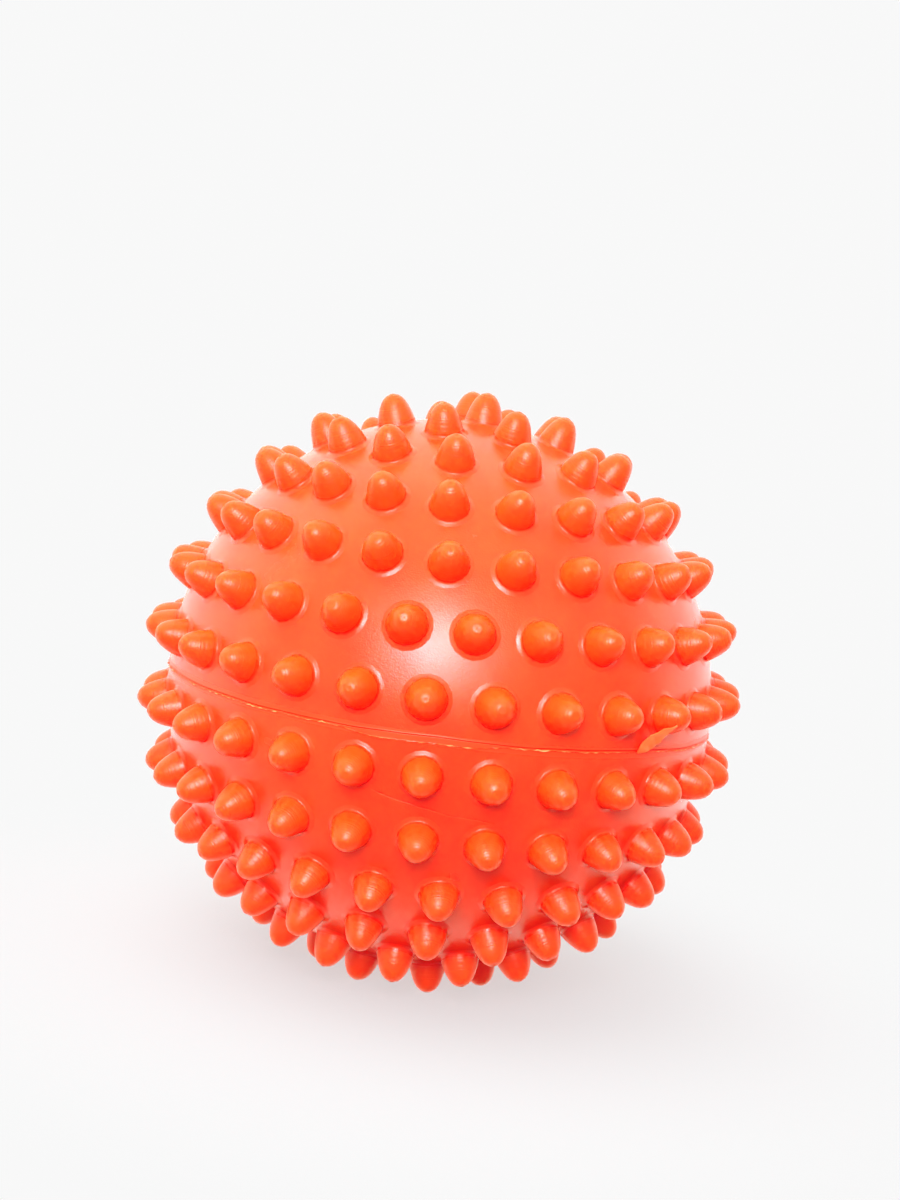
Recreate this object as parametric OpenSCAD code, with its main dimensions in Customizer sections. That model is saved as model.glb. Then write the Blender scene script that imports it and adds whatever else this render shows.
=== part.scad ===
// Sensory ball: a hollow ball of soft vinyl, covered all over in rows of rounded nubs.
// Two moulded half skins meet at the equator, where a welded seam holds them.
// The lower pole carries the air valve, a bush that a pull-out plug closes.
// +Z is the mould axis, and the origin is the centre of the ball.

/* [Skin] */
// Outer diameter of the skin, measured between the nubs
skin_d = 91; // [75:0.5:130]
// Thickness of the skin
skin_t = 2; // [1.2:0.1:3]

/* [Nubs] */
// Height of a nub above the skin
nub_h = 4.5; // [3.8:0.1:7]
// Diameter of a nub where its flank would meet the skin
nub_root_d = 6.2; // [5:0.1:6.6]
// Radius of the rounded tip
nub_tip_r = 2.1; // [1.5:0.05:2.3]
// Radius of the fillet that blends the flank into the skin
nub_fillet_r = 0.9; // [0.4:0.05:1.2]
// Least distance between the centres of two nubs in a row, along the skin
nub_pitch = 9.85; // [9:0.05:14]
// Distance between two rows of nubs, along the skin
row_pitch = 10.3; // [9:0.05:14]
// Distance from the seam to the first row of each half, along the skin
seam_to_row = 5.65; // [5:0.05:8]

/* [Seam] */
// Width of the weld at the outside of the skin
weld_w = 1.6; // [1.2:0.1:2.4]
// Width of the weld at the inside of the skin
weld_root_w = 0.6; // [0.3:0.1:1]
// Height of the two raised lines along the weld
weld_line_h = 0.22; // [0.1:0.02:0.24]
// Width of each raised line
weld_line_w = 0.5; // [0.5:0.02:0.56]
// Radius of the bead that the weld leaves inside the ball
weld_bead_r = 0.9; // [0.7:0.1:1.5]

/* [Valve bush] */
// Diameter of the collar that fills the hole in the skin
collar_d = 11; // [10.8:0.1:14]
// Diameter of the flange bonded to the inside of the skin
flange_d = 17; // [15:0.1:22]
// Thickness of the flange
flange_t = 1.4; // [1:0.1:2.5]
// Outer diameter of the tube that grips the stem of the plug
tube_d = 7.4; // [6.4:0.1:9]
// Length of the tube beyond the flange
tube_len = 5; // [3:0.1:9]
// Depth of the pocket that takes the head of the plug
pocket_depth = 0.9; // [0.6:0.05:1.2]
// Width of the notch where a thumbnail gets under the head
notch_w = 2.4; // [1.5:0.1:2.6]
// Depth of that notch below the pocket
notch_depth = 0.3; // [0.1:0.05:0.5]

/* [Valve plug] */
// Diameter of the head
plug_head_d = 8; // [7:0.1:8.2]
// Thickness of the head
plug_head_t = 1.2; // [0.9:0.05:1.8]
// Diameter of the stem
plug_stem_d = 4; // [3:0.1:5]
// Length of the straight part of the stem
plug_stem_len = 8; // [6:0.1:14]
// Length of the tapered end of the stem
plug_taper_len = 1.2; // [0.6:0.1:2]

/* [Fits] */
// Clearance between the plug and the bush, on the radius
plug_clear = 0.05; // [0.03:0.01:0.1]
// Thickness of the bond between the bush and the skin
bond_clear = 0.05; // [0.02:0.01:0.1]

/* [Hidden] */
$fn = 48;
// Facets round the whole ball
ball_fn = 144;
// How far a cutting shape runs past what it cuts
overrun = 1;

// Skin
skin_r = skin_d / 2;
skin_in_r = skin_r - skin_t;
pole_arc = skin_r * PI / 2;
rim_slope = (weld_w - weld_root_w) / (2 * skin_t);
skin_color = [0.99, 0.31, 0.14];
weld_color = [0.99, 0.42, 0.24];

// Nubs: the flank leans in from the root until it runs into the round tip
nub_root_r = nub_root_d / 2;
nub_tip_z = nub_h - nub_tip_r;
nub_sink_share = 0.6;
nub_sink = skin_t * nub_sink_share;
// Small angles at which the surfaces of a nub cross, so that none only touches another
tip_cross_a = 6;
fillet_cross_a = 6;
skin_cross_a = 18;
root_to_tip = norm([nub_root_r, nub_tip_z]);
flank_to_axis = nub_tip_r * cos(tip_cross_a);
flank_a = atan(nub_root_r / nub_tip_z) - asin(flank_to_axis / root_to_tip);
flank_len = sqrt(pow(root_to_tip, 2) - pow(flank_to_axis, 2));
flank_top_r = nub_root_r - flank_len * sin(flank_a);
flank_top_z = flank_len * cos(flank_a);
// Centre of the fillet's arc
fillet_reach = nub_fillet_r * (1 - sin(flank_a)) / cos(flank_a);
fillet_drop = skin_r - sqrt(pow(skin_r, 2) - pow(nub_root_r + fillet_reach, 2));
fillet_z = nub_fillet_r * cos(skin_cross_a) - fillet_drop;
fillet_lean = nub_fillet_r * cos(fillet_cross_a) - fillet_z * sin(flank_a);
fillet_r = nub_root_r + fillet_lean / cos(flank_a);

// Rows of nubs: the upper half is covered to its pole, the lower half up to the valve
valve_room = (collar_d + nub_root_d) / 2 + nub_fillet_r;
upper_rows = floor((pole_arc - seam_to_row) / row_pitch) + 1;
lower_rows = floor((pole_arc - seam_to_row - valve_room) / row_pitch) + 1;
// Where each row starts, as a share of the step between its nubs
upper_start_shares = [-0.17, 0.40, -0.12, -0.23, -0.23, -0.45, -0.07];
lower_start_shares = [-0.08, -0.02, 0.41, 0.33, -0.12, 0.38];

// Weld: each raised line is an arc of this radius, drawn at its share of the weld's width
weld_line_r = (pow(weld_line_w / 2, 2) + pow(weld_line_h, 2)) / (2 * weld_line_h);
weld_line_share = 0.33;
weld_line_z = weld_w * weld_line_share;
bead_sink_share = 0.5;
bead_centre_r = skin_in_r - weld_bead_r * bead_sink_share;

// Valve: heights along the mould axis, from the outside of the ball to the inside
collar_r = collar_d / 2;
collar_face_z = -sqrt(pow(skin_r, 2) - pow(collar_r, 2));
plug_seat_z = collar_face_z + pocket_depth;
flange_out_r = skin_in_r - bond_clear;
flange_in_r = flange_out_r - flange_t;
tube_end_z = tube_len - flange_in_r;
bore_r = plug_stem_d / 2 + plug_clear;
pocket_r = plug_head_d / 2 + plug_clear;
plug_taper_share = 0.6;
plug_edge_share = 0.25;
valve_color = [0.93, 0.36, 0.18];

function row_lat(row) = (seam_to_row + row * row_pitch) / skin_r * 180 / PI;
function row_count(row) = floor(2 * PI * skin_r * cos(row_lat(row)) / nub_pitch);

// Half section of one nub, with the skin at height zero
module nub_section() {
    intersection() {
        translate([0, -nub_sink])
            square([nub_root_d, nub_sink + nub_h + overrun]);
        union() {
            polygon([
                [0, -nub_sink],
                [nub_root_r + nub_sink * tan(flank_a), -nub_sink],
                [flank_top_r, flank_top_z],
                [0, flank_top_z]
            ]);
            translate([0, nub_tip_z])
                circle(r = nub_tip_r);
            difference() {
                translate([0, -nub_sink])
                    square([fillet_r, nub_sink + fillet_z + nub_fillet_r * sin(flank_a)]);
                translate([fillet_r, fillet_z])
                    circle(r = nub_fillet_r);
            }
        }
    }
}

// All the nubs of one half; side is 1 for the upper half and -1 for the lower
module nub_field(rows, start_shares, side) {
    for (row = [0 : rows - 1]) {
        count = row_count(row);
        start_share = start_shares[row % len(start_shares)];
        for (i = [0 : 1 : count - 1])
            rotate([90 - side * row_lat(row), 0, (i + start_share) * 360 / count])
                translate([0, 0, skin_r])
                    rotate_extrude()
                        nub_section();
    }
}

// Half section of the bare upper skin, down to its sloping rim
module skin_section() {
    intersection() {
        difference() {
            circle(r = skin_r, $fn = ball_fn);
            circle(r = skin_in_r, $fn = ball_fn);
        }
        polygon([
            [0, weld_root_w / 2 - rim_slope * skin_in_r],
            [skin_d, weld_root_w / 2 + rim_slope * (skin_d - skin_in_r)],
            [skin_d, skin_d],
            [0, skin_d]
        ]);
    }
}

module skin_shell() {
    rotate_extrude($fn = ball_fn)
        skin_section();
}

module upper_skin() {
    color(skin_color)
        union() {
            skin_shell();
            nub_field(upper_rows, upper_start_shares, 1);
        }
}

module lower_skin() {
    color(skin_color)
        difference() {
            union() {
                mirror([0, 0, 1])
                    skin_shell();
                nub_field(lower_rows, lower_start_shares, -1);
            }
            translate([0, 0, -skin_r - overrun])
                cylinder(r = collar_r + bond_clear, h = skin_r);
        }
}

// The weld fills the V between the two rims, with a bead inside the ball
module seam_weld() {
    color(weld_color)
        rotate_extrude($fn = ball_fn)
            union() {
                polygon([
                    [bead_centre_r, -weld_root_w / 2],
                    [skin_in_r, -weld_root_w / 2],
                    [skin_r, -weld_w / 2],
                    [skin_r, weld_w / 2],
                    [skin_in_r, weld_root_w / 2],
                    [bead_centre_r, weld_root_w / 2]
                ]);
                for (side = [-1, 1])
                    translate([skin_r + weld_line_h - weld_line_r, side * weld_line_z])
                        circle(r = weld_line_r);
                intersection() {
                    translate([bead_centre_r, 0])
                        circle(r = weld_bead_r);
                    circle(r = skin_in_r, $fn = ball_fn);
                }
            }
}

module valve_bush() {
    color(valve_color)
        difference() {
            union() {
                translate([0, 0, collar_face_z])
                    cylinder(r = collar_r, h = -collar_face_z - flange_in_r - flange_t / 2);
                intersection() {
                    difference() {
                        sphere(r = flange_out_r, $fn = ball_fn);
                        sphere(r = flange_in_r, $fn = ball_fn);
                    }
                    translate([0, 0, -skin_r])
                        cylinder(d = flange_d, h = skin_r);
                }
                translate([0, 0, -flange_in_r - flange_t / 2])
                    cylinder(d = tube_d, h = tube_len + flange_t / 2);
            }
            translate([0, 0, collar_face_z - overrun])
                cylinder(r = bore_r, h = tube_end_z - collar_face_z + 2 * overrun);
            translate([0, 0, collar_face_z - overrun])
                cylinder(r = pocket_r, h = pocket_depth + overrun);
            translate([pocket_r, 0, collar_face_z - overrun])
                cylinder(d = notch_w, h = pocket_depth + notch_depth + overrun);
        }
}

module valve_plug() {
    color(valve_color)
        translate([0, 0, plug_seat_z])
            rotate_extrude()
                polygon([
                    [0, -plug_head_t],
                    [plug_head_d / 2 - plug_head_t * plug_edge_share, -plug_head_t],
                    [plug_head_d / 2, -plug_head_t * (1 - plug_edge_share)],
                    [plug_head_d / 2, 0],
                    [plug_stem_d / 2, 0],
                    [plug_stem_d / 2, plug_stem_len],
                    [plug_stem_d / 2 * plug_taper_share, plug_stem_len + plug_taper_len],
                    [0, plug_stem_len + plug_taper_len]
                ]);
}

upper_skin();
lower_skin();
seam_weld();
valve_bush();
valve_plug();
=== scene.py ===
import bpy
import bmesh
import math
from mathutils import Matrix, Vector, kdtree


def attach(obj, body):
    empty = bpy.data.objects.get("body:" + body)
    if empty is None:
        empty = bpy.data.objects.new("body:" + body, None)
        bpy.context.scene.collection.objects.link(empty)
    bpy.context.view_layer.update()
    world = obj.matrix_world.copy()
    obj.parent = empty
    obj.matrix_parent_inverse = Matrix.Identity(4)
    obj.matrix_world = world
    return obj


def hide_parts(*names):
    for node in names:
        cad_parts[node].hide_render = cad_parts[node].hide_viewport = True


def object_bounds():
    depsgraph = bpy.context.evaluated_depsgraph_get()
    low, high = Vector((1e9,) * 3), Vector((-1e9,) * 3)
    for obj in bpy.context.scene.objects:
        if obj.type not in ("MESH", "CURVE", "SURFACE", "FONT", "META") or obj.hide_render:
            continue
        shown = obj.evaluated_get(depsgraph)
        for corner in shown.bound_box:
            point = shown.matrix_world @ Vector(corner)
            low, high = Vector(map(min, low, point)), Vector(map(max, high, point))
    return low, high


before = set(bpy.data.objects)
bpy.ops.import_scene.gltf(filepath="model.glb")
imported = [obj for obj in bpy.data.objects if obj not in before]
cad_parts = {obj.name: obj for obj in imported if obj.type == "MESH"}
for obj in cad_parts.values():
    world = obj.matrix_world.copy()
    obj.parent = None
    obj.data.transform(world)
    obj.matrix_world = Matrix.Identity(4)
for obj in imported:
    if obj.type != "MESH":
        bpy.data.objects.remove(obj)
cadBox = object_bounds()
mm = 0.001
scene = bpy.context.scene
joinGap = 0.002 * mm  # points nearer than this become one


def direction(lat, lon):  # degrees; lon 0 faces the camera and grows to the right
    a, o = math.radians(lat), math.radians(lon)
    return Vector((math.cos(a) * math.sin(o), -math.cos(a) * math.cos(o), math.sin(a)))


def deselectAll():
    if bpy.context.mode != 'OBJECT':
        bpy.ops.object.mode_set(mode='OBJECT')
    bpy.ops.object.select_all(action='DESELECT')


def edit(name):  # the primitive just added becomes a named piece, open for editing
    obj = bpy.context.object
    obj.name = obj.data.name = name
    bpy.ops.object.mode_set(mode='EDIT')
    bpy.ops.mesh.select_all(action='SELECT')
    return obj


def selectFaces(obj, wanted):
    mesh = bmesh.from_edit_mesh(obj.data)
    bpy.ops.mesh.select_all(action='DESELECT')
    for face in mesh.faces:
        if wanted(face):
            face.select_set(True)
    bmesh.update_edit_mesh(obj.data)


def selectVerts(obj, wanted):
    mesh = bmesh.from_edit_mesh(obj.data)
    bpy.ops.mesh.select_all(action='DESELECT')
    for vert in mesh.verts:
        vert.select_set(wanted(vert))
    mesh.select_flush_mode()
    bmesh.update_edit_mesh(obj.data)


def selectEdges(obj, wanted):
    mesh = bmesh.from_edit_mesh(obj.data)
    bpy.ops.mesh.select_all(action='DESELECT')
    for edge in mesh.edges:
        if wanted(edge):
            edge.select_set(True)
    bmesh.update_edit_mesh(obj.data)


def outwards():
    bpy.ops.mesh.select_all(action='SELECT')
    bpy.ops.mesh.normals_make_consistent(inside=False)


def spinSection(name, section, steps):  # radius and height of each point, in mm, spun round the mould axis
    deselectAll()
    bpy.ops.mesh.primitive_circle_add(vertices=len(section))
    obj = edit(name)
    mesh = bmesh.from_edit_mesh(obj.data)
    for vert, (r, z) in zip(mesh.verts, section):
        vert.co = (0, -r * mm, z * mm)
    bmesh.update_edit_mesh(obj.data)
    bpy.ops.mesh.spin(steps=steps, angle=2 * math.pi, center=(0, 0, 0), axis=(0, 0, 1))
    bpy.ops.mesh.select_all(action='SELECT')
    bpy.ops.mesh.remove_doubles(threshold=joinGap)
    outwards()
    return obj


def applyModifier(obj, kind, **settings):
    made = obj.modifiers.new(kind.lower(), kind)
    for name, value in settings.items():
        setattr(made, name, value)
    bpy.context.view_layer.objects.active = obj
    bpy.ops.object.modifier_apply(modifier=made.name)


def displace(obj, texture, strength, way, group=''):  # moves points by a cloud texture, to both sides
    applyModifier(obj, 'DISPLACE', texture=texture, strength=strength, texture_coords='LOCAL', direction=way,
                  mid_level=0.5, vertex_group=group)


def cloudTexture(name, size, colour=False):
    made = bpy.data.textures.new(name, 'CLOUDS')
    made.noise_scale = size
    made.noise_depth = 1
    made.cloud_type = 'COLOR' if colour else 'GRAYSCALE'
    return made


def weigh(obj, name, weight):  # a vertex group from a rule on each point's place
    group = obj.vertex_groups.new(name=name)
    for vert in obj.data.vertices:
        share = weight(vert.co)
        if share > 0:
            group.add([vert.index], min(share, 1.0), 'REPLACE')


def smooth(obj, angle):
    deselectAll()
    obj.select_set(True)
    bpy.context.view_layer.objects.active = obj
    bpy.ops.object.shade_smooth_by_angle(angle=math.radians(angle))


def place(obj, material, body, slot, *nodes):
    obj.data.materials.clear()
    obj.data.materials.append(material)
    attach(obj, body)
    if nodes:
        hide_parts(*nodes)


# camera where the photograph was taken from: a little above the seam, and rolled
view = dict(
    distance=314.1 * mm, elevation=9.08, roll=7.85, lens=55.73, shiftX=0.0086, shiftY=0.0754, near=10 * mm)
el, roll = math.radians(view['elevation']), math.radians(view['roll'])
back = Vector((0, -math.cos(el), math.sin(el)))
lift = Vector((0, math.sin(el), math.cos(el)))
side = Vector((1, 0, 0))
camRight = side * math.cos(roll) + lift * math.sin(roll)
camUp = lift * math.cos(roll) - side * math.sin(roll)
turn = Matrix((camRight, camUp, back)).transposed()
deselectAll()
bpy.ops.object.camera_add(location=back * view['distance'], rotation=turn.to_euler())
camera = bpy.context.object
camera.data.lens = view['lens']
camera.data.shift_x = view['shiftX']
camera.data.shift_y = view['shiftY']
camera.data.clip_start = view['near']
scene.camera = camera
print('camera set')


class Wire:  # a socket that takes part in sums
    def __init__(self, tree, socket=None):
        self.tree, self.socket = tree, socket

    def node(self, kind, settings={}, inputs={}, out=0):
        made = self.tree.nodes.new(kind)
        for name, value in settings.items():
            setattr(made, name, value)
        for name, value in inputs.items():
            if isinstance(value, Wire):
                self.tree.links.new(value.socket, made.inputs[name])
            else:
                made.inputs[name].default_value = value
        return Wire(self.tree, made.outputs[out] if made.outputs else None)

    def calc(self, operation, first, second=0.0):
        return self.node('ShaderNodeMath', {'operation': operation}, {0: first, 1: second})

    def __add__(self, other):
        return self.calc('ADD', self, other)

    __radd__ = __add__

    def __sub__(self, other):
        return self.calc('SUBTRACT', self, other)

    def __rsub__(self, other):
        return self.calc('SUBTRACT', other, self)

    def __mul__(self, other):
        return self.calc('MULTIPLY', self, other)

    __rmul__ = __mul__

    def __truediv__(self, other):
        return self.calc('DIVIDE', self, other)

    def __rtruediv__(self, other):
        return self.calc('DIVIDE', other, self)

    def ramp(self, low, high, start=0.0, end=1.0):
        return self.node('ShaderNodeMapRange', {'interpolation_type': 'SMOOTHSTEP'},
                         {0: self, 1: low, 2: high, 3: start, 4: end})

    def blend(self, first, second):  # this wire mixes two colours
        return self.node('ShaderNodeMix', {'data_type': 'RGBA'}, {0: self, 6: first, 7: second}, 2)

    def along(self, axis):  # how far this place reaches along an axis
        return self.node('ShaderNodeVectorMath', {'operation': 'DOT_PRODUCT'}, {0: self, 1: axis}, 'Value')

    def length(self):
        return self.node('ShaderNodeVectorMath', {'operation': 'LENGTH'}, {0: self}, 'Value')

    def noise(self, size, detail=2.0, rough=0.5):  # size of its patches, in metres
        return self.node('ShaderNodeTexNoise', {}, {'Vector': self, 'Scale': 1 / size, 'Detail': detail,
                                                    'Roughness': rough}, 'Fac')


def newMaterial(name):
    mat = bpy.data.materials.new(name)
    mat.use_nodes = True
    mat.node_tree.nodes.clear()
    return mat, Wire(mat.node_tree)


def rgb(r, g, b):
    return (r, g, b, 1)


# soft vinyl: milky skin, nubs in a more orange red that is painted glow of light through them, fine turning
# marks round the nubs, paler torn flash
vinyl = dict(
    skinColour=rgb(0.985, 0.072, 0.013), skinPale=rgb(0.985, 0.090, 0.019),
    nubPaintedGlowColour=rgb(0.985, 0.102, 0.009), valveColour=rgb(0.90, 0.075, 0.016), toneRange=(0.35, 0.65),
    weldColour=rgb(0.985, 0.16, 0.038), flashColour=rgb(0.985, 0.22, 0.07),
    crestColour=rgb(0.985, 0.40, 0.17),
    roughness=0.24, nubRoughness=0.33, weldRoughness=0.36, ior=1.58, bump=0.4, bumpDistance=0.1 * mm,
    subsurface=0.8, subsurfaceRadius=(1.0, 0.12, 0.05), skinDepth=0.45 * mm, nubDepth=4.0 * mm,
    nubFrom=0.25 * mm, nubTo=1.2 * mm,
    cloudSize=18 * mm, cloudRough=0.10, blotchSize=4 * mm, blotchRough=0.12,
    ringStep=0.36 * mm, ringDepth=1.7, dimpleSize=1.6 * mm, dimpleDepth=0.4,
    grainSize=0.30 * mm, grainDepth=0.90,
    speckSize=2.6 * mm, speckEdge=(0.10, 0.04), speckShare=(0.52, 0.6), speckDepth=0.3)
scratch = dict(  # a hairline below the seam, between two places given as lat and lon
    start=(-11.3, -10.1), end=(-14.6, 9.2), wobbleSize=6 * mm, wobble=1.2 * mm, edge=(0.16 * mm, 0.05 * mm),
    left=(-8.5 * mm, -6.5 * mm), right=(11.5 * mm, 9.0 * mm), front=(30 * mm, 35 * mm), depth=1.5)


def vinylShader(start, colour, rough, relief, depth=0.0):  # depth that light reaches into the vinyl
    bump = start.node('ShaderNodeBump', {}, {'Strength': vinyl['bump'], 'Distance': vinyl['bumpDistance'],
                                             'Height': relief})
    return start.node('ShaderNodeBsdfPrincipled', {}, {
        'Base Color': colour, 'Roughness': rough, 'Normal': bump, 'IOR': vinyl['ior'],
        'Subsurface Weight': vinyl['subsurface'] if depth else 0.0,
        'Subsurface Radius': vinyl['subsurfaceRadius'], 'Subsurface Scale': depth})


def scratchLine(start, spot):  # one where the scratch runs, else zero
    normal = direction(*scratch['start']).cross(direction(*scratch['end'])).normalized()
    across = spot.along(tuple(normal))
    wobble = (spot.noise(scratch['wobbleSize']) - 0.5) * scratch['wobble']
    onLine = start.calc('ABSOLUTE', across + wobble).ramp(*scratch['edge'])
    there = spot.along((1, 0, 0)).ramp(*scratch['left']) * spot.along((1, 0, 0)).ramp(*scratch['right'])
    return onLine * there * spot.along((0, -1, 0)).ramp(*scratch['front'])


def skinMaterial():
    mat, start = newMaterial('skinVinyl')
    spot = start.node('ShaderNodeTexCoord', out='Object')
    height = spot.length() - skin['radius']
    onNub = height.ramp(vinyl['nubFrom'], vinyl['nubTo'])
    cloud = spot.noise(vinyl['cloudSize'], detail=3.0)
    blotch = spot.noise(vinyl['blotchSize'], detail=3.0)
    grain = spot.noise(vinyl['grainSize'], rough=0.6)
    cell = start.node('ShaderNodeTexVoronoi', {},
                      {'Vector': spot, 'Scale': 1 / vinyl['speckSize']}, 'Distance')
    speck = cell.ramp(*vinyl['speckEdge']) * blotch.ramp(*vinyl['speckShare'])
    skinTone = cloud.ramp(*vinyl['toneRange']).blend(vinyl['skinColour'], vinyl['skinPale'])
    # the nubs take a more orange colour than the skin: painted glow of light through the nubs
    tone = onNub.blend(skinTone, vinyl['nubPaintedGlowColour'])
    rough = vinyl['roughness'] - onNub * (vinyl['roughness'] - vinyl['nubRoughness'])
    rough = rough + (cloud - 0.5) * vinyl['cloudRough'] + (blotch - 0.5) * vinyl['blotchRough']
    rings = start.node('ShaderNodeTexNoise', {'noise_dimensions': '1D'},
                       {'W': height / vinyl['ringStep'], 'Scale': 1.0, 'Detail': 1.0}, 'Fac')
    dimple = spot.noise(vinyl['dimpleSize'], detail=1.0)
    relief = onNub * (rings * vinyl['ringDepth'] + dimple * vinyl['dimpleDepth'])
    relief = relief + grain * vinyl['grainDepth'] + speck * vinyl['speckDepth']
    relief = relief - scratchLine(start, spot) * (1 - onNub) * scratch['depth']
    wall = vinylShader(start, tone, rough, relief, vinyl['skinDepth'])
    body = vinylShader(start, tone, rough, relief, vinyl['nubDepth'])
    both = start.node('ShaderNodeMixShader', {}, {0: onNub, 1: wall, 2: body})
    start.node('ShaderNodeOutputMaterial', {}, {'Surface': both})
    return mat


# the weld and its torn flash: paler where it stands up, in patches
weldLook = dict(
    patchSize=3 * mm, tornFrom=0.03 * mm, tornTo=0.12 * mm, tornShare=(0.40, 0.55, 0.3, 1.0), roughVary=0.2,
    grainSize=0.5 * mm, grainDepth=0.5, weldCrest=(0.13 * mm, 0.22 * mm), flapCrest=(2.6 * mm, 5.0 * mm))


def weldMaterial(name, base, pale, crest):  # crest: heights between which it turns palest
    mat, start = newMaterial(name)
    spot = start.node('ShaderNodeTexCoord', out='Object')
    height = spot.length() - skin['radius']
    patch = spot.noise(weldLook['patchSize'], detail=3.0)
    grain = spot.noise(weldLook['grainSize'], rough=0.7)
    torn = height.ramp(weldLook['tornFrom'], weldLook['tornTo']) * patch.ramp(*weldLook['tornShare'])
    tone = height.ramp(*crest).blend(torn.blend(base, pale), vinyl['crestColour'])
    rough = vinyl['weldRoughness'] + (patch - 0.5) * weldLook['roughVary']
    shader = vinylShader(start, tone, rough, grain * weldLook['grainDepth'])
    start.node('ShaderNodeOutputMaterial', {}, {'Surface': shader})
    return mat


valveLook = dict(cloudSize=5 * mm, roughVary=0.15, grainSize=0.4 * mm, grainDepth=0.3)


def valveMaterial():
    mat, start = newMaterial('valveVinyl')
    spot = start.node('ShaderNodeTexCoord', out='Object')
    cloud = spot.noise(valveLook['cloudSize'], detail=3.0)
    grain = spot.noise(valveLook['grainSize'], rough=0.6)
    tone = cloud.ramp(*vinyl['toneRange']).blend(vinyl['valveColour'], vinyl['skinColour'])
    rough = vinyl['roughness'] + (cloud - 0.5) * valveLook['roughVary']
    shader = vinylShader(start, tone, rough, grain * valveLook['grainDepth'])
    start.node('ShaderNodeOutputMaterial', {}, {'Surface': shader})
    return mat


# the two half skins, each one closed wall with its nubs
skin = dict(
    radius=45.5 * mm, inner=43.5 * mm, rimOut=0.8 * mm, rimIn=0.3 * mm, rimPoints=144,
    filler=6, edgeGap=1.0 * mm, holeRadius=5.55 * mm, holePoints=48,
    seamToRow=5.65 * mm, rowPitch=10.3 * mm, nubPitch=9.85 * mm,
    starts={1: (-0.17, 0.40, -0.12, -0.23, -0.23, -0.45, 0.09),
            -1: (-0.08, -0.02, 0.41, 0.33, -0.12, 0.38)},  # share of a pitch that each row is turned by
    wallLats=(10, 20, 30, 40, 50, 60, 70, 77), poleLats=(84, 88), flatAngle=0.2, smoothAngle=60)
nub = dict(  # fillet and flank: radius and height above the skin, in mm
    sides=16, ring=3.94 * mm, ringGap=0.9 * mm, capShare=0.99, filletOut=3.84 * mm,
    height=4.95 * mm, pit=0.22 * mm, lean=0.6 * mm, leanSize=11 * mm,
    fillet=((3.80, -0.143), (3.50, -0.03), (3.27, 0.06), (3.17, 0.15), (3.11, 0.30)),
    flank=((3.05, 0.55), (2.88, 1.28), (2.63, 2.13), (2.34, 2.93),
           (2.00, 3.61), (1.57, 4.21), (1.05, 4.63), (0.36, 4.91)))


def nubSites(half):
    found = []
    for row, start in enumerate(skin['starts'][half]):
        lat = (skin['seamToRow'] + row * skin['rowPitch']) / skin['radius']
        count = int(2 * math.pi * skin['radius'] * math.cos(lat) / skin['nubPitch'])
        for i in range(count):
            found.append(direction(half * math.degrees(lat), (i + start) * 360 / count))
    return found


def nubSection():  # the skin, a shallow ring, then a blunt bullet
    out = nub['filletOut']
    points = [(out, math.sqrt(skin['radius'] ** 2 - out ** 2) - skin['radius'])]
    return points + [(r * mm, z * mm) for r, z in nub['fillet'] + nub['flank']]


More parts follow.
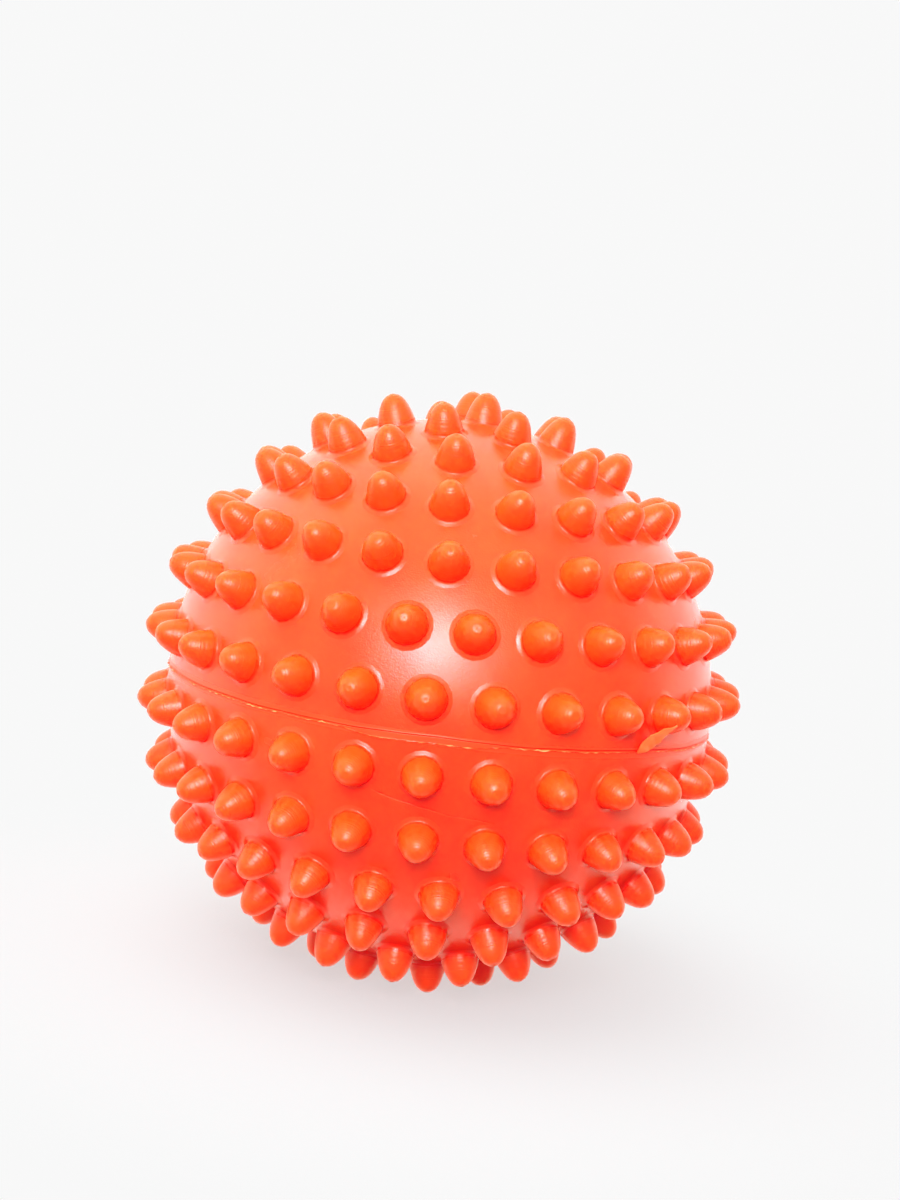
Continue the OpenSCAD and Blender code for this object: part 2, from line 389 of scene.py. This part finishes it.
def makeSkin(name, half):
    sites = nubSites(half)
    ringDrop = math.sqrt(skin['radius'] ** 2 - nub['ring'] ** 2)
    rimRadius = math.sqrt(skin['radius'] ** 2 - skin['rimOut'] ** 2)
    holeDrop = math.sqrt(skin['radius'] ** 2 - skin['holeRadius'] ** 2)
    deselectAll()
    bpy.ops.mesh.primitive_circle_add(vertices=skin['rimPoints'], radius=rimRadius)
    obj = edit(name)
    bpy.ops.transform.translate(value=(0, 0, half * skin['rimOut']))
    for site in sites:  # one ring at the foot of each nub
        bpy.ops.mesh.primitive_circle_add(vertices=nub['sides'], radius=nub['ring'],
                                          location=site * ringDrop,
                                          rotation=site.to_track_quat('Z', 'Y').to_euler())
    if half < 0:
        bpy.ops.mesh.primitive_circle_add(vertices=skin['holePoints'], radius=skin['holeRadius'],
                                          location=(0, 0, -holeDrop))
    bpy.ops.mesh.select_all(action='DESELECT')
    bpy.ops.mesh.primitive_ico_sphere_add(subdivisions=skin['filler'], radius=skin['radius'])
    bpy.ops.mesh.delete(type='EDGE_FACE')  # leaves its points, to fill the skin between the rings
    tree = kdtree.KDTree(len(sites))
    for i, site in enumerate(sites):
        tree.insert(site * skin['radius'], i)
    tree.balance()

    def crowded(vert):  # a filling point too near a ring, the rim or the hole
        if vert.link_edges:
            return False
        reach = math.hypot(vert.co.x, vert.co.y)
        nearHole = half < 0 and vert.co.z < 0 and reach < skin['holeRadius'] + skin['edgeGap']
        nearRim = vert.co.z * half < skin['rimOut'] + skin['edgeGap']
        return nearHole or nearRim or tree.find(vert.co)[2] < nub['ring'] + nub['ringGap']

    def cap(face):  # the flat inside a ring, where a nub will stand
        farOut = face.calc_center_median().length > ringDrop * nub['capShare']
        return farOut and len(face.verts) == nub['sides']

    selectVerts(obj, crowded)
    bpy.ops.mesh.delete(type='VERT')
    bpy.ops.mesh.select_all(action='SELECT')
    bpy.ops.mesh.convex_hull(join_triangles=False)
    bpy.ops.mesh.select_all(action='SELECT')
    bpy.ops.mesh.dissolve_limited(angle_limit=math.radians(skin['flatAngle']))

    # raise every nub at once, ring by ring
    selectFaces(obj, cap)
    squeeze = math.cos(math.pi / nub['sides'])
    lastR, lastZ = nub['ring'], ringDrop - skin['radius']
    for r, z in nubSection():
        bpy.ops.mesh.inset(thickness=(lastR - r) * squeeze, depth=z - lastZ, use_individual=True)
        lastR, lastZ = r, z
    bpy.ops.mesh.poke(offset=-nub['pit'])

    # the sloping rim and the wall inside
    squeeze = math.cos(math.pi / skin['rimPoints'])
    selectFaces(obj, lambda f: len(f.verts) == skin['rimPoints'])
    inRim = math.sqrt(skin['inner'] ** 2 - skin['rimIn'] ** 2)
    bpy.ops.mesh.inset(thickness=(rimRadius - inRim) * squeeze, depth=skin['rimOut'] - skin['rimIn'])
    lastR, lastZ = inRim, skin['rimIn']
    for lat in skin['wallLats'] + (skin['poleLats'] if half > 0 else ()):
        r = skin['inner'] * math.cos(math.radians(lat))
        z = skin['inner'] * math.sin(math.radians(lat))
        bpy.ops.mesh.inset(thickness=(lastR - r) * squeeze, depth=lastZ - z)
        lastR, lastZ = r, z
    if half > 0:
        bpy.ops.mesh.poke()
    else:
        r = skin['holeRadius']
        z = math.sqrt(skin['inner'] ** 2 - r ** 2)
        bpy.ops.mesh.inset(thickness=(lastR - r) * squeeze, depth=lastZ - z)
        bpy.ops.mesh.delete(type='ONLY_FACE')
        selectFaces(obj, lambda f: len(f.verts) == skin['holePoints'])
        bpy.ops.mesh.delete(type='ONLY_FACE')
        bpy.ops.mesh.select_all(action='DESELECT')
        bpy.ops.mesh.select_non_manifold()
        bpy.ops.mesh.bridge_edge_loops()
    outwards()
    bpy.ops.object.mode_set(mode='OBJECT')

    # soft vinyl: no two nubs lean quite alike
    weigh(obj, 'nubs', lambda co: (co.length - skin['radius']) / nub['height'])
    displace(obj, cloudTexture(name + 'Lean', nub['leanSize'], True), nub['lean'], 'RGB_TO_XYZ', 'nubs')
    smooth(obj, skin['smoothAngle'])
    print(name, 'made,', len(sites), 'nubs,', len(obj.data.polygons), 'faces')
    return obj


skinVinyl = skinMaterial()
place(makeSkin('skinUpper', 1), skinVinyl, 'ball', 'skin_vinyl', 'upper_skin')
place(makeSkin('skinLower', -1), skinVinyl, 'ball', 'skin_vinyl', 'lower_skin')

# the weld fills the V between the rims: a fine crevice, and a thin ragged ridge of flash beside it
# crevice and ridge give height along the mould axis and rise above the skin, inside gives radius and height
weld = dict(
    steps=900, edge=0.80, smoothAngle=80,
    crevice=((0.24, 0.0), (0.20, 0.0), (0.13, 0.05), (0.07, 0.03),
             (0.0, -0.22), (-0.06, -0.03), (-0.10, 0.0), (-0.14, 0.0)),
    ridge=((-0.17, 0.0), (-0.20, 0.0), (-0.24, 0.10), (-0.28, 0.16),
           (-0.32, 0.09), (-0.36, 0.0), (-0.39, 0.0)),
    inside=((43.5, -0.30), (43.05, -0.30), (42.35, -0.50), (42.15, 0.0),
            (42.35, 0.50), (43.05, 0.30), (43.5, 0.30)),
    outside=45 * mm, linesWithin=0.6 * mm, ridgeBelow=-0.155 * mm, ridgeFull=0.1 * mm,
    rise=0.40 * mm, climbFrom=(-24, 10), climbTo=(-60, -40),
    part=0.72 * mm, partAt=-2.0, partWide=17.0, partEase=9,
    ragged=0.36 * mm, raggedSize=0.8 * mm, fleck=0.46 * mm, fleckSize=1.2 * mm,
    wander=0.5 * mm, wanderSize=14 * mm)


def longitude(co):
    return math.degrees(math.atan2(co.x, -co.y))


def step(value, low, high):
    share = min(max((value - low) / (high - low), 0), 1)
    return share * share * (3 - 2 * share)


def makeWeld():
    rim = math.sqrt((skin['radius'] / mm) ** 2 - weld['edge'] ** 2)
    outside = [(skin['radius'] / mm + rise, z) for z, rise in weld['crevice'] + weld['ridge']]
    section = [(rim, weld['edge'])] + outside + [(rim, -weld['edge'])] + list(weld['inside'])
    obj = spinSection('seamWeld', section, weld['steps'])
    bpy.ops.object.mode_set(mode='OBJECT')

    def line(co):  # all that shows, but for the two edges
        return co.length > weld['outside'] and abs(co.z) < weld['linesWithin']

    def ridge(co):
        return line(co) and co.z < weld['ridgeBelow']

    def climb(co):
        lon = longitude(co)
        share = step(lon, *weld['climbFrom']) * step(-lon, *weld['climbTo'])
        return share if line(co) else 0

    def part(co):
        apart = weld['partWide'] - abs(longitude(co) - weld['partAt'])
        return step(apart, 0, weld['partEase']) if ridge(co) else 0

    # the seam climbs to the right, and the ridge parts from it in front
    weigh(obj, 'climb', climb)
    weigh(obj, 'part', part)
    weigh(obj, 'line', line)
    weigh(obj, 'ridge', lambda co: ridge(co) and (co.length - skin['radius']) / weld['ridgeFull'])
    for group, strength in (('climb', weld['rise']), ('part', -weld['part'])):
        applyModifier(obj, 'DISPLACE', strength=strength, direction='Z', mid_level=0.0, vertex_group=group)
    displace(obj, cloudTexture('weldWander', weld['wanderSize']), weld['wander'], 'Z', 'line')
    displace(obj, cloudTexture('weldRagged', weld['raggedSize']), weld['ragged'], 'Z', 'ridge')
    displace(obj, cloudTexture('weldFleck', weld['fleckSize']), weld['fleck'], 'NORMAL', 'ridge')
    smooth(obj, weld['smoothAngle'])
    print('weld made,', len(obj.data.polygons), 'faces')
    return obj


weldVinyl = weldMaterial('weldVinyl', vinyl['skinColour'], vinyl['weldColour'], weldLook['weldCrest'])
flashVinyl = weldMaterial('flashVinyl', vinyl['weldColour'], vinyl['flashColour'], weldLook['flapCrest'])
place(makeWeld(), weldVinyl, 'ball', 'weld_vinyl', 'seam_weld')

# torn flash that the moulding left: one flap on the seam
flap = dict(  # route: lat, lon, width and rise in mm
    thickness=0.26 * mm, crown=0.12 * mm, levels=2, torn=0.45 * mm, tornSize=1.0 * mm, smoothAngle=60,
    route=((0.1, 42.7, 0.5, 0.10), (0.84, 43.2, 1.5, 0.40), (1.51, 43.9, 2.0, 0.75),
           (2.33, 44.7, 2.2, 1.15), (3.1, 45.5, 2.1, 1.55), (3.77, 46.0, 1.9, 1.95),
           (4.4, 46.6, 1.5, 2.40), (5.0, 47.2, 1.0, 3.00), (5.6, 47.5, 0.3, 3.90)))


def makeFlap(name, route):
    deselectAll()
    bpy.ops.mesh.primitive_grid_add(x_subdivisions=2, y_subdivisions=len(route) - 1)
    obj = edit(name)
    mesh = bmesh.from_edit_mesh(obj.data)
    mesh.verts.ensure_lookup_table()
    centres = [direction(lat, lon) * (skin['radius'] + rise * mm) for lat, lon, width, rise in route]
    widths = [width * mm for lat, lon, width, rise in route]
    for i, centre in enumerate(centres):
        ahead = (centres[min(i + 1, len(centres) - 1)] - centres[max(i - 1, 0)]).normalized()
        across = centre.normalized().cross(ahead)
        for j in (-1, 0, 1):
            crown = centre.normalized() * (flap['crown'] * (1 - abs(j)))
            mesh.verts[i * 3 + j + 1].co = centre + across * (j * widths[i] / 2) + crown
    bmesh.update_edit_mesh(obj.data)
    bpy.ops.object.mode_set(mode='OBJECT')
    applyModifier(obj, 'SUBSURF', levels=flap['levels'], render_levels=flap['levels'])
    displace(obj, cloudTexture(name + 'Torn', flap['tornSize'], True), flap['torn'], 'RGB_TO_XYZ')
    applyModifier(obj, 'SOLIDIFY', thickness=flap['thickness'], offset=0)
    bpy.ops.object.mode_set(mode='EDIT')
    outwards()
    smooth(obj, flap['smoothAngle'])
    print(name, 'made')
    return obj


place(makeFlap('flashFlap', flap['route']), flashVinyl, 'ball', 'weld_vinyl')

# valve at the lower pole: a bush with a pocket, and the plug that sits in it; radii and heights in mm
bush = dict(
    steps=64, collar=5.5, face=-45.166, seat=-44.266, pocket=4.05, bore=2.05,
    flange=8.5, outerR=43.45, innerR=42.05, outSteps=3, inSteps=4, tube=3.7, tubeEnd=-37.05,
    edge=0.22 * mm, joinGap=0.01 * mm, smoothAngle=40,
    notchWidth=2.4 * mm, notchFloor=-43.966 * mm, notchPoints=32, overrun=2)
plug = dict(
    steps=64, edge=0.22 * mm, smoothAngle=40,
    section=((0.0, -45.40), (1.6, -45.42), (2.9, -45.466), (3.7, -45.466), (4.0, -45.17), (4.0, -44.266),
             (2.0, -44.266), (2.0, -36.266), (1.2, -35.066), (0.0, -35.066)))
bevel = dict(sharpAngle=50, segments=2)


def onSphere(r, radius):
    return (r, -math.sqrt(radius ** 2 - r ** 2))


def arc(first, last, count, radius):  # points along a sphere, from one radius to another
    return [onSphere(first + (last - first) * i / count, radius) for i in range(count + 1)]


def sharp(edge):
    return len(edge.link_faces) == 2 and edge.calc_face_angle() > math.radians(bevel['sharpAngle'])


def bevelSharp(obj, width):
    selectEdges(obj, sharp)
    bpy.ops.mesh.bevel(offset=width, segments=bevel['segments'], affect='EDGES')
    outwards()


def makeBush():
    b = bush
    flangeOut = arc(b['collar'], b['flange'], b['outSteps'], b['outerR'])
    flangeIn = arc(b['flange'], b['tube'], b['inSteps'], b['innerR'])
    section = [(b['bore'], b['seat']), (b['pocket'], b['seat'])]
    section += [(b['pocket'], b['face']), (b['collar'], b['face'])]
    section += flangeOut + flangeIn + [(b['tube'], b['tubeEnd']), (b['bore'], b['tubeEnd'])]
    obj = spinSection('valveBush', section, b['steps'])
    bevelSharp(obj, b['edge'])
    deselectAll()
    deep = (b['seat'] - b['face'] + b['overrun']) * mm
    bpy.ops.mesh.primitive_cylinder_add(vertices=b['notchPoints'], radius=b['notchWidth'] / 2, depth=deep,
                                        location=(b['pocket'] * mm, 0, b['notchFloor'] - deep / 2))
    cutter = bpy.context.object
    applyModifier(obj, 'BOOLEAN', object=cutter, operation='DIFFERENCE', solver='EXACT')
    bpy.data.objects.remove(cutter)
    bpy.ops.object.mode_set(mode='EDIT')
    bpy.ops.mesh.select_all(action='SELECT')
    bpy.ops.mesh.remove_doubles(threshold=b['joinGap'])
    outwards()
    smooth(obj, b['smoothAngle'])
    return obj


def makePlug():
    obj = spinSection('valvePlug', plug['section'], plug['steps'])
    bevelSharp(obj, plug['edge'])
    smooth(obj, plug['smoothAngle'])
    return obj


valveVinyl = valveMaterial()
place(makeBush(), valveVinyl, 'ball', 'valve_vinyl', 'valve_bush')
place(makePlug(), valveVinyl, 'plug', 'valve_vinyl', 'valve_plug')
print('valve made')

# studio: a soft box above the camera, a wide light overhead, a pale room behind the ball
studio = dict(
    keyUp=17.4, keyRight=-2.0, keyDistance=0.50, keySize=(0.20, 0.18), keyPower=1.2,
    keyColour=(1.0, 0.90, 1.0), spreadBehind=0.01, spreadSize=(0.42, 0.36), spreadPower=1.7,
    topAt=(-0.30, -0.15, 0.7), topSize=(0.9, 0.9), topPower=8.0,
    sky=0.952, above=1.0, below=0.50, roomAxis=(-0.35, 0.0, 0.94), roomRange=(-0.15, 0.25),
    behind=1.8, behindAxis=(-0.15, 0.99, 0.0), behindRange=(-0.3, 0.3), gamma=0.80,
    greenCurve=((0.03, 0.008), (0.06, 0.031), (0.09, 0.075), (0.13, 0.134),
                (0.18, 0.196), (0.28, 0.302), (0.6, 0.6)),
    floorZ=cadBox[0].z, floorSize=0.6, floorPoints=96, floorColour=rgb(0.40, 0.40, 0.40),
    floorClear=(0.045, 0.12, 0.68, 1.0))


def areaLight(name, where, size, power, colour=(1, 1, 1), shines=True):
    deselectAll()
    bpy.ops.object.light_add(type='AREA', location=where,
                             rotation=Vector(where).to_track_quat('Z', 'Y').to_euler())
    lamp = bpy.context.object
    lamp.name = name
    lamp.data.shape = 'ELLIPSE'
    lamp.data.energy = power
    lamp.data.size, lamp.data.size_y = size
    lamp.data.color = colour
    lamp.visible_glossy = shines  # or only fills


up, over = math.radians(studio['keyUp']), math.radians(studio['keyRight'])
aim = back * math.cos(up) * math.cos(over) + camUp * math.sin(up) + camRight * math.sin(over)
spreadAt = aim * (studio['keyDistance'] + studio['spreadBehind'])
keyAt = aim * studio['keyDistance']
areaLight('keyLight', keyAt, studio['keySize'], studio['keyPower'], studio['keyColour'])
areaLight('keySpread', spreadAt, studio['spreadSize'], studio['spreadPower'], studio['keyColour'])
areaLight('topLight', studio['topAt'], studio['topSize'], studio['topPower'], shines=False)

world = bpy.data.worlds.new('paleRoom')
world.use_nodes = True
world.node_tree.nodes.clear()
start = Wire(world.node_tree)
toward = start.node('ShaderNodeTexCoord', out='Generated')
dome = toward.along(studio['roomAxis']).ramp(*studio['roomRange'], studio['below'], studio['above'])
wall = toward.along(studio['behindAxis']).ramp(*studio['behindRange'], 0.0, studio['behind'])
room = start.calc('MAXIMUM', dome, wall)
seen = start.node('ShaderNodeLightPath', out='Is Camera Ray')
glow = room + seen * (studio['sky'] - room)
sky = start.node('ShaderNodeBackground', {}, {'Color': rgb(1, 1, 1), 'Strength': glow})
start.node('ShaderNodeOutputWorld', {}, {'Surface': sky})
scene.world = world
scene.view_settings.view_transform = 'Standard'
scene.view_settings.gamma = studio['gamma']
# the photograph's shade is a deeper red: its green falls off early
scene.view_settings.use_curve_mapping = True
response = scene.view_settings.curve_mapping
green = response.curves[1]
for dark, seenAs in studio['greenCurve']:
    green.points.new(dark, seenAs).handle_type = 'VECTOR'
response.update()

deselectAll()
bpy.ops.mesh.primitive_circle_add(vertices=studio['floorPoints'], radius=studio['floorSize'],
                                  fill_type='NGON', location=(0, 0, studio['floorZ']))
floor = bpy.context.object
floor.name = 'floor'
bpy.ops.object.transform_apply(location=True)
floorMat, start = newMaterial('paleFloor')
reach = start.node('ShaderNodeTexCoord', out='Object').length()
under = start.node('ShaderNodeNewGeometry', out='Backfacing')
clear = start.calc('MAXIMUM', reach.ramp(*studio['floorClear']), under)
paint = start.node('ShaderNodeBsdfDiffuse', {}, {'Color': studio['floorColour']})
glass = start.node('ShaderNodeBsdfTransparent')
mixed = start.node('ShaderNodeMixShader', {}, {0: clear, 1: paint, 2: glass})
start.node('ShaderNodeOutputMaterial', {}, {'Surface': mixed})
floor.data.materials.append(floorMat)
print('studio set')
